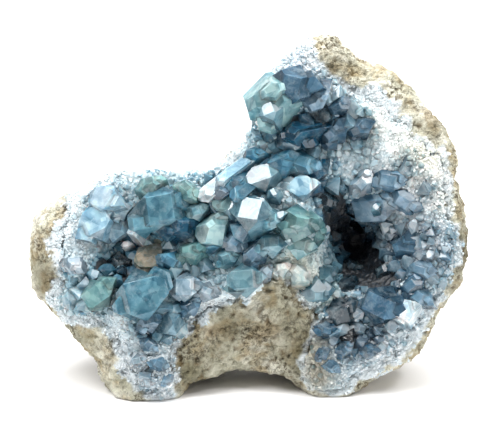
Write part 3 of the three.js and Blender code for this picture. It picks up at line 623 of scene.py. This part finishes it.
def hull_mesh(corners, bevel=0.0):
    """A convex hull with its flat faces whole, as corners and faces, its edges bevelled by millimetres."""
    shape = bmesh.new()
    for corner in corners:
        shape.verts.new(corner)
    bmesh.ops.remove_doubles(shape, verts=shape.verts, dist=0.02)
    bmesh.ops.convex_hull(shape, input=shape.verts)
    loose = [vertex for vertex in shape.verts if not vertex.link_faces]
    bmesh.ops.delete(shape, geom=loose, context="VERTS")
    bmesh.ops.dissolve_limit(shape, angle_limit=math.radians(1), verts=shape.verts, edges=shape.edges)
    if bevel:
        bmesh.ops.bevel(
            shape, geom=shape.edges[:], offset=bevel, segments=1, affect="EDGES", clamp_overlap=True,
        )
    bmesh.ops.recalc_face_normals(shape, faces=shape.faces)
    shape.verts.index_update()
    made = np.array([vertex.co for vertex in shape.verts])
    faces = [[vertex.index for vertex in face.verts] for face in shape.faces]
    shape.free()
    return made, faces


def planted(row, index, beside=None):
    """The hull of a large crystal in the face frame, its root cut off inside the layer.

    Beside gives a smaller crystal parallel to it instead: its place in the large one's axes, and its share
    of the size."""
    x, u, stand, width, thickness, right, up, spin, crown = row[:9]
    head = Vector((x, u, face_height(x, u) + stand))
    aim = Vector((math.tan(math.radians(right)), math.tan(math.radians(up)), 1)).normalized()
    turn = Vector((0, 0, 1)).rotation_difference(aim) @ Quaternion((0, 0, 1), math.radians(spin))
    face = itertools.count()
    if beside:
        place, share = beside
        head += turn @ Vector((place[0] * width, place[1] * thickness, place[2] * stand))
        width *= share
        thickness *= share
        stand *= share

    def uneven(by):
        return 1 + by * math.sin(7.3 * index + 2.1 * next(face)) / 2

    upright = crystal_planes(width, thickness, crown, uneven)
    planes = [(turn @ normal, distance) for normal, distance in upright]
    root = head - aim * stand / aim.z
    root.z = face_height(root.x, root.y)
    inward = Vector((
        face_height(root.x + 1, root.y) - root.z, face_height(root.x, root.y + 1) - root.z, -1,
    )).normalized()
    planes.append((inward, inward.dot(root - head) + ROOT))
    planes.append((-aim, stand / aim.z + ROOT + thickness / 2))
    return hull_of_planes(planes) + np.array(head), planes, np.array(head)


def join(shapes, name, facet_shade):
    """One mesh of many shapes, with their corners' colours, each facet and corner painted lighter or
    darker by the facet shade: painted shade, light and reflections that differ from facet to facet.
    """
    corners, faces, colours, count = [], [], [], 0
    for made, rings, tints in shapes:
        corners.append(made)
        for ring in rings:
            shade = 1 + facet_shade * math.sin(8.7 * len(faces))
            shades = shade + facet_shade / 2 * np.sin(2.9 * np.arange(len(ring)) + 5.3 * len(faces))
            colours.append(tints[ring] * np.column_stack([shades, shades, shades, np.ones(len(ring))]))
            faces.append([count + corner for corner in ring])
        count += len(made)
    mesh = bpy.data.meshes.new(name)
    mesh.from_pydata(to_table(np.concatenate(corners)), [], faces)
    paint(mesh, np.concatenate(colours), "CORNER")
    return mesh


def grown_celestite(name, transmission, roughness, let_through, density):
    """Celestite, grown as blocky crystals: see-through but cloudy, with veils, zones and deep blue inside.

    Its growth lines are finer than 0.1 mm, so they are drawn as a ripple of 1.6 mm to show at all."""
    material, tree = new_material(name)
    place = add(tree, "TexCoord").outputs["Object"]
    tint = add(tree, "Attribute", attribute_name="tint")
    veils = add(tree, "TexNoise", {"Vector": place, "Scale": 1 / 0.006, "Detail": 7, "Roughness": 0.75})
    veil_mask = add(tree, "ValToRGB", {"Fac": veils.outputs["Fac"]}, ramp=[
        (0.5, "000000"), (0.7, "A0A0A0"),
    ])
    cells = add(tree, "TexVoronoi", {"Vector": place, "Scale": 1 / 0.0036}, feature="F1")
    zones = add(tree, "SeparateColor", {"Color": cells.outputs["Color"]})
    zone_mask = add(tree, "ValToRGB", {"Fac": zones.outputs["Red"]}, ramp=[
        (0.1, "C2D4DC"), (0.75, "FFFFFF"),
    ])
    zoned = add(tree, "MixRGB", {
        "Fac": 1.0, "Color1": tint.outputs["Color"], "Color2": zone_mask.outputs["Color"],
    }, blend_type="MULTIPLY")
    depths = add(tree, "TexNoise", {"Vector": place, "Scale": 1 / 0.007, "Detail": 3, "Distortion": 0.8})
    depth_mask = add(tree, "ValToRGB", {"Fac": depths.outputs["Fac"]}, ramp=[
        (0.36, "B2C8D0"), (0.58, "FFFFFF"),
    ])
    deepened = add(tree, "MixRGB", {
        "Fac": 1.0, "Color1": zoned.outputs["Color"], "Color2": depth_mask.outputs["Color"],
    }, blend_type="MULTIPLY")
    veiled = add(tree, "MixRGB", {
        "Fac": veil_mask.outputs["Color"], "Color1": deepened.outputs["Color"], "Color2": linear("DCEBEE"),
    })
    ripple = add(tree, "TexNoise", {"Vector": place, "Scale": 1 / 0.0016, "Detail": 2, "Roughness": 0.5})
    bump = add(tree, "Bump", {"Height": ripple.outputs["Fac"], "Strength": 0.15, "Distance": 0.0004})
    shader = add(tree, "BsdfPrincipled", {
        "Base Color": veiled.outputs["Color"], "Roughness": roughness, "IOR": 1.62,
        "Transmission Weight": transmission, "Normal": bump.outputs["Normal"],
        "Subsurface Weight": 0.7, "Subsurface Radius": (0.6, 0.9, 1), "Subsurface Scale": 0.003,
    })
    volume = add(tree, "VolumeAbsorption", {"Color": linear(let_through), "Density": density})
    add(tree, "OutputMaterial", {"Surface": shader.outputs["BSDF"], "Volume": volume.outputs["Volume"]})
    return material


def shaded_to_root(corners, depths, head, root):
    """Colours of corners that go from the head's to the root's with their depth, from 0 to 1. A darker
    root is partly the crystal's own deeper colour and partly painted shade between the crystals.
    """
    share = np.clip(depths, 0, 1)[:, None]
    return np.array(head) * (1 - share) + np.array(root) * share


# Finish of each kind: tint of head and root, where a darker root is partly painted shade between the
# crystals, share of light that goes in, roughness, the colour that gets through, and how densely the rest
# is absorbed.
FINISHES = {
    "clear": ("96BECA", "2C6478", 0.6, 0.1, "5FC8E0", 60),
    "pale": ("C0E0DE", "5CA4B0", 0.5, 0.06, "5FDCE0", 50),
    "teal": ("90C2CE", "20586C", 0.45, 0.07, "50CEE0", 65),
    "lagoon": ("70A2B2", "123F52", 0.45, 0.07, "50CEE0", 70),
    "green": ("9CC4C0", "30646A", 0.45, 0.1, "6CD6D2", 60),
    "sea": ("88AEB6", "2C5E6C", 0.45, 0.1, "6CD0D6", 60),
    "moss": ("7EAAA8", "285660", 0.45, 0.08, "6CD6D2", 60),
    "blue": ("6CA8C0", "184E68", 0.45, 0.06, "50BEE4", 75),
    "deep": ("2E6C88", "08283C", 0.5, 0.05, "46A8D2", 90),
    "slate": ("8EAEC2", "2E5874", 0.45, 0.1, "78C0E2", 60),
    "dusk": ("6288A0", "1A3C52", 0.5, 0.08, "5CB0D8", 75),
    # Crystals near black, as painted shade in the deep hollow and the gaps.
    "smoky": ("324A56", "060E14", 0.5, 0.08, "6CB0C6", 90),
    "mist": ("BECAD2", "7A90A2", 0.4, 0.2, "A0CCDC", 50),
    "milky": ("CAE6F4", "86B0CA", 0.4, 0.2, "8CD2E6", 40),
    "creamy": ("F4F0E4", "BCBAAC", 0.3, 0.3, "E0DCC8", 20),
    "frost": ("F4F8FA", "C0D4DE", 0.3, 0.3, "A0CCDC", 30),
    "stained": ("D6C4A8", "9AA0A4", 0.4, 0.2, "E6D2A0", 30),
}

# Steps of parallel growth: place across the width and thickness and down the crystal, share of its size.
STEPS = [((0.3, 0.12, -0.16), 0.62), ((-0.28, -0.2, -0.22), 0.6)]

crystal_walls = []  # planes and head of each large crystal, so that nothing small starts inside one
shapes_of = {finish: [] for finish in FINISHES}
for index, row in enumerate(CRYSTALS + SLENDER_CRYSTALS):
    finish = row[9]
    head_tint, root_tint = FINISHES[finish][:2]
    steps = STEPS[:1] if finish in ("clear", "pale") else STEPS  # the clearest have one
    for step, beside in enumerate([None] + steps):
        corners, planes, head = planted(row, index + 17 * step, beside)
        made, faces = hull_mesh(corners, bevel=0.0 if beside else 0.1)
        depths = (head[2] - made[:, 2]) / (row[2] + ROOT_TINT_DEPTH)
        shapes_of[finish].append((made, faces, shaded_to_root(made, depths, linear(head_tint), linear(root_tint))))
        if not beside:
            normals, distances = zip(*planes)
            crystal_walls.append((np.array(normals), np.array(distances), head))

for finish, shapes in shapes_of.items():
    mesh = join(shapes, finish + "_crystals", facet_shade=0.35)
    mesh.materials.append(grown_celestite("celestite_" + finish, *FINISHES[finish][2:]))
    add_piece(finish + "_crystals", mesh, "celestite", "crystal_crust")

# ---- Small crystals ----
# Crystals 2 to 18 mm long that fill the room between the large ones, smaller and whiter to the rim.
# They grew on the sugary layer and stand roughly square to it.

LOWEST_PLANTED = 1.5  # height above the table below which nothing small grows

chance = random.Random(5)


def small_shapes(count):
    """Hulls of crystals one unit wide with their roots cut off flat, all a little different."""
    made = []
    for index in range(count):
        face = itertools.count()

        def uneven(by):
            return 1 + by * math.sin(5.1 * index + 2.7 * next(face)) / 2

        thickness = 0.7 + 0.3 * chance.random()
        chisel = index % 3 > 0
        crown = chance.uniform(0.02, 0.25) if chisel else chance.uniform(0.3, 0.8)
        planes = crystal_planes(1, thickness, crown, uneven, short_domes=not chisel)
        planes.append((Vector((0, 0, -1)), 1.1 + 0.5 * chance.random()))
        made.append(hull_mesh(hull_of_planes(planes)))
    return made


def outside_crystals(points, margin):
    """Which points lie outside every large crystal, or less than the margin inside one."""
    free = np.ones(len(points), bool)
    for normals, distances, head in crystal_walls:
        free &= ~(((points - head) @ normals.T) < distances - margin).all(1)
    return free


def scatter(mesh, tries, spacing, seed, wanted, margin):
    """Places on the front of a mesh at least a spacing apart, each with its normal, out of many tries."""
    rng = np.random.default_rng(seed)
    centres = to_face(vectors_of(mesh.polygons, "center"))
    normals = vectors_of(mesh.polygons, "normal") @ FACE_AXES.T
    areas = np.empty(len(mesh.polygons), np.float32)
    mesh.polygons.foreach_get("area", areas)
    weight = areas * (normals[:, 2] > -0.3) * wanted(centres) * outside_crystals(centres, margin)
    weight *= vectors_of(mesh.polygons, "center")[:, 2] > LOWEST_PLANTED * MM
    picks = rng.choice(len(centres), tries, p=weight / weight.sum())
    room = spacing(centres[picks, 0], centres[picks, 1])
    cell = room.max()
    kept, cells = [], {}
    for place, near, pick in zip(centres[picks], room, picks):
        key = tuple((place // cell).astype(int))
        around = [
            other for i in (-1, 0, 1) for j in (-1, 0, 1) for k in (-1, 0, 1)
            for other in cells.get((key[0] + i, key[1] + j, key[2] + k), ())
        ]
        if any(((place - other) ** 2).sum() < near * near for other in around):
            continue
        cells.setdefault(key, []).append(place)
        kept.append(pick)
    return centres[kept], normals[kept], rng


def plant_small(name, templates, places, normals, sizes, heads, roots, lean, sunk, rng):
    """One mesh of small crystals, each leaning a little from the layer's normal."""
    shapes = []
    for place, normal, size, head_tint, root_tint in zip(places, normals, sizes, heads, roots):
        corners, faces = templates[rng.integers(len(templates))]
        aim = Vector(normal + rng.normal(0, lean, 3)).normalized()
        turn = Vector((0, 0, 1)).rotation_difference(aim) @ Quaternion((0, 0, 1), rng.uniform(0, math.tau))
        head = place + np.array(aim) * size * (1 - sunk)
        made = corners * size @ np.array(turn.to_matrix()).T + head
        shapes.append((made, faces, shaded_to_root(made, -corners[:, 2], head_tint, root_tint)))
    return join(shapes, name, facet_shade=0.18)


templates = small_shapes(14)


# Where they stay smaller than elsewhere: x, u, radius, share.
FINE_PATCHES = [
    (100, 80, 30, 1), (48, 14, 24, 0.8), (-50, 12, 22, 0.9), (92, 40, 16, 0.6), (-25, 112, 20, 0.5),
    (-95, 60, 14, 0.5), (20, 170, 20, 0.8),
]


def crystal_piece(name, shapes, tries, seed, wanted, spacing, size, spread, lean, sunk, finish):
    """Small crystals strewn over the sugary layer where they are wanted, coloured after their place."""
    places, normals, rng = scatter(sugar_mesh, tries, spacing, seed, wanted, margin=-1)  # 1 mm clear
    x, u = places[:, 0], places[:, 1]
    # The deep gaps add painted shade to their colour.
    shares = blue_share(x, u) + swell(x, u, SHADED_DEEP_GAPS)
    sizes = size(x, u) * rng.uniform(1 - spread, 1 + spread, len(places))
    sizes *= 1 - 0.55 * np.minimum(swell(x, u, FINE_PATCHES), 1)
    depth = rng.uniform(0.4, 0.85, len(places))
    heads = tone(shares * depth, places)
    # Their roots are darker: partly a deeper colour, partly painted shade between the crystals.
    roots = tone(shares * (depth + 0.35), places)
    mesh = plant_small(name, shapes, places, normals, sizes, heads, roots, lean, sunk, rng)
    mesh.materials.append(grown_celestite("celestite_" + name, *finish))
    add_piece(name, mesh, "celestite", "crystal_crust")


crystal_piece(
    "medium_crystals", templates, tries=3500, seed=3,
    wanted=lambda p: (blue_share_at(p) > 0.42) * (swell_at(p, SHADED_DEEP_GAPS) < 0.7)
    * (1 - 0.9 * np.minimum(swell_at(p, FINE_PATCHES), 1)),
    spacing=lambda x, u: (3 + 5 * blue_share(x, u)) * (1 - 0.5 * np.minimum(swell(x, u, FINE_PATCHES), 1)),
    size=lambda x, u: 3 + 8 * blue_share(x, u),
    spread=0.3, lean=0.45, sunk=0.4, finish=(0.45, 0.07, "78C8E0", 65),
)
crystal_piece(
    "small_crystals", templates[::3], tries=5000, seed=17,
    wanted=lambda p: (blue_share_at(p) < 0.6) * np.maximum(blue_share_at(p) - 0.08, 0)
    * (swell_at(p, SHADED_DEEP_GAPS) < 0.5),
    spacing=lambda x, u: 2.2 + 2 * blue_share(x, u),
    size=lambda x, u: 2.2 + 3 * blue_share(x, u),
    spread=0.35, lean=0.4, sunk=0.5, finish=(0.4, 0.3, "A8D0DC", 40),
)

# ---- Grains ----
# Loose-looking grains of 1 to 3 mm, the youngest growth, like coarse sugar over rim and broken edge.
# Each is a stub of a crystal, half sunk in what it grew on.

GRAIN_SPACING = 1.2
GRAIN_WIDTHS = (0.8, 1.7)


def grain_piece(name, mesh, tries, seed, wanted):
    """Grains strewn over a mesh where they are wanted."""
    places, normals, rng = scatter(
        mesh, tries, lambda x, u: np.full_like(x, GRAIN_SPACING), seed, wanted, margin=0.5,
    )
    shares = blue_share_at(places)
    sizes = rng.uniform(*GRAIN_WIDTHS, len(places))
    blue = 0.8 * shares * rng.uniform(0.2, 0.9, len(places)) + rng.uniform(0, 0.08, len(places))
    tones = tone(blue, places)
    grain_mesh = plant_small(
        name, templates[:5], places, normals, sizes, tones, tones, lean=0.7, sunk=0.5, rng=rng,
    )
    grain_mesh.materials.append(sugary_celestite())
    add_piece(name, grain_mesh, "celestite", "crystal_crust")


grain_piece(
    "grains", sugar_mesh, tries=8000, seed=23,
    wanted=lambda p: np.clip(1 - 1.6 * blue_share_at(p) + 0.6 * swell_at(p, FINE_PATCHES), 0.02, 1)
    * (swell_at(p, SHADED_DEEP_GAPS) < 0.35),
)
cover_tree = KDTree(len(rind_places))
for index, place in enumerate(rind_places):
    cover_tree.insert(place, index)
cover_tree.balance()
grain_piece(
    "edge_grains", rind_mesh, tries=9000, seed=31,
    wanted=lambda p: np.array([rind_cover[cover_tree.find(point)[1]] for point in p]),
)

# ---- Studio ----
# The stone stands on pale matt card in a pale room. Its soft light comes from above: a box in front on the
# left, a wide one overhead and one on the right, with a small one that sparks on the crystals.

FLOOR_REACH = 6  # metres from the middle


def pale_card():
    """Card, matt and pale, so that the stone's soft shadow is all that shows on it."""
    material, tree = new_material("card_matt")
    grain = add(tree, "TexNoise", {"Scale": 3.0, "Detail": 1})
    shade = add(tree, "ValToRGB", {"Fac": grain.outputs["Fac"]}, ramp=[(0, "F7F6F6"), (1, "FBFAFA")])
    shader = add(tree, "BsdfPrincipled", {"Base Color": shade.outputs["Color"], "Roughness": 0.9})
    add(tree, "OutputMaterial", {"Surface": shader.outputs["BSDF"]})
    return material


floor_mesh = bpy.data.meshes.new("floor")
floor_corners = [(x * FLOOR_REACH, y * FLOOR_REACH, 0) for x, y in ((-1, -1), (1, -1), (1, 1), (-1, 1))]
floor_mesh.from_pydata(floor_corners, [], [(0, 1, 2, 3)])
floor_mesh.materials.append(pale_card())
floor = bpy.data.objects.new("floor", floor_mesh)
bpy.context.scene.collection.objects.link(floor)


def soft_box(name, place, aim, size, power):
    """A square soft box at a place that faces a point, in metres and watts."""
    light = bpy.data.lights.new(name, "AREA")
    light.shape = "SQUARE"
    light.size = size
    light.energy = power
    lamp = bpy.data.objects.new(name, light)
    lamp.location = place
    lamp.rotation_euler = (Vector(aim) - Vector(place)).to_track_quat("-Z", "Y").to_euler()
    bpy.context.scene.collection.objects.link(lamp)


MIDDLE = (0, 0, 0.09)
soft_box("key_light", (-0.45, -0.35, 0.95), MIDDLE, 0.5, 10)
soft_box("top_light", (0.2, 0.1, 1.3), MIDDLE, 1.1, 20)
soft_box("side_light", (1.2, -0.3, 0.5), MIDDLE, 0.7, 4)
soft_box("spark_light", (0.55, -0.35, 0.85), MIDDLE, 0.16, 3)

# The room is dim on the side that the open face looks to and bright behind, and plain white in the frame.
world = bpy.data.worlds.new("room")
bpy.context.scene.world = world
world.use_nodes = True
tree = world.node_tree
aim = add(tree, "SeparateXYZ", {"Vector": add(tree, "TexCoord").outputs["Generated"]})
room_light = add(tree, "MapRange", {
    "Value": aim.outputs["Y"], "From Min": -1.0, "To Min": 0.2, "To Max": 0.95,
})
seen = add(tree, "LightPath").outputs["Is Camera Ray"]
strength = add(tree, "MapRange", {"Value": seen, "To Min": room_light.outputs["Result"], "To Max": 1.0})
tree.links.new(strength.outputs["Result"], tree.nodes["Background"].inputs["Strength"])
tree.nodes["Background"].inputs["Color"].default_value = linear("FFFFFF")
bpy.context.scene.view_settings.view_transform = "Standard"

CAMERA_DISTANCE = 1200  # mm out from the open face
VIEW_WIDTH = 250  # mm of the face across the frame
VIEW_MIDDLE = 90  # u at the middle of the frame

camera = bpy.data.objects.new("camera", bpy.data.cameras.new("camera"))
camera.data.sensor_width = 36
camera.data.lens = camera.data.sensor_width * CAMERA_DISTANCE / VIEW_WIDTH
camera.data.clip_end = 20
camera.location = to_table((0, VIEW_MIDDLE, CAMERA_DISTANCE))
camera.rotation_euler = Euler((math.pi / 2 - LEAN, 0, 0))
bpy.context.scene.collection.objects.link(camera)
bpy.context.scene.camera = camera
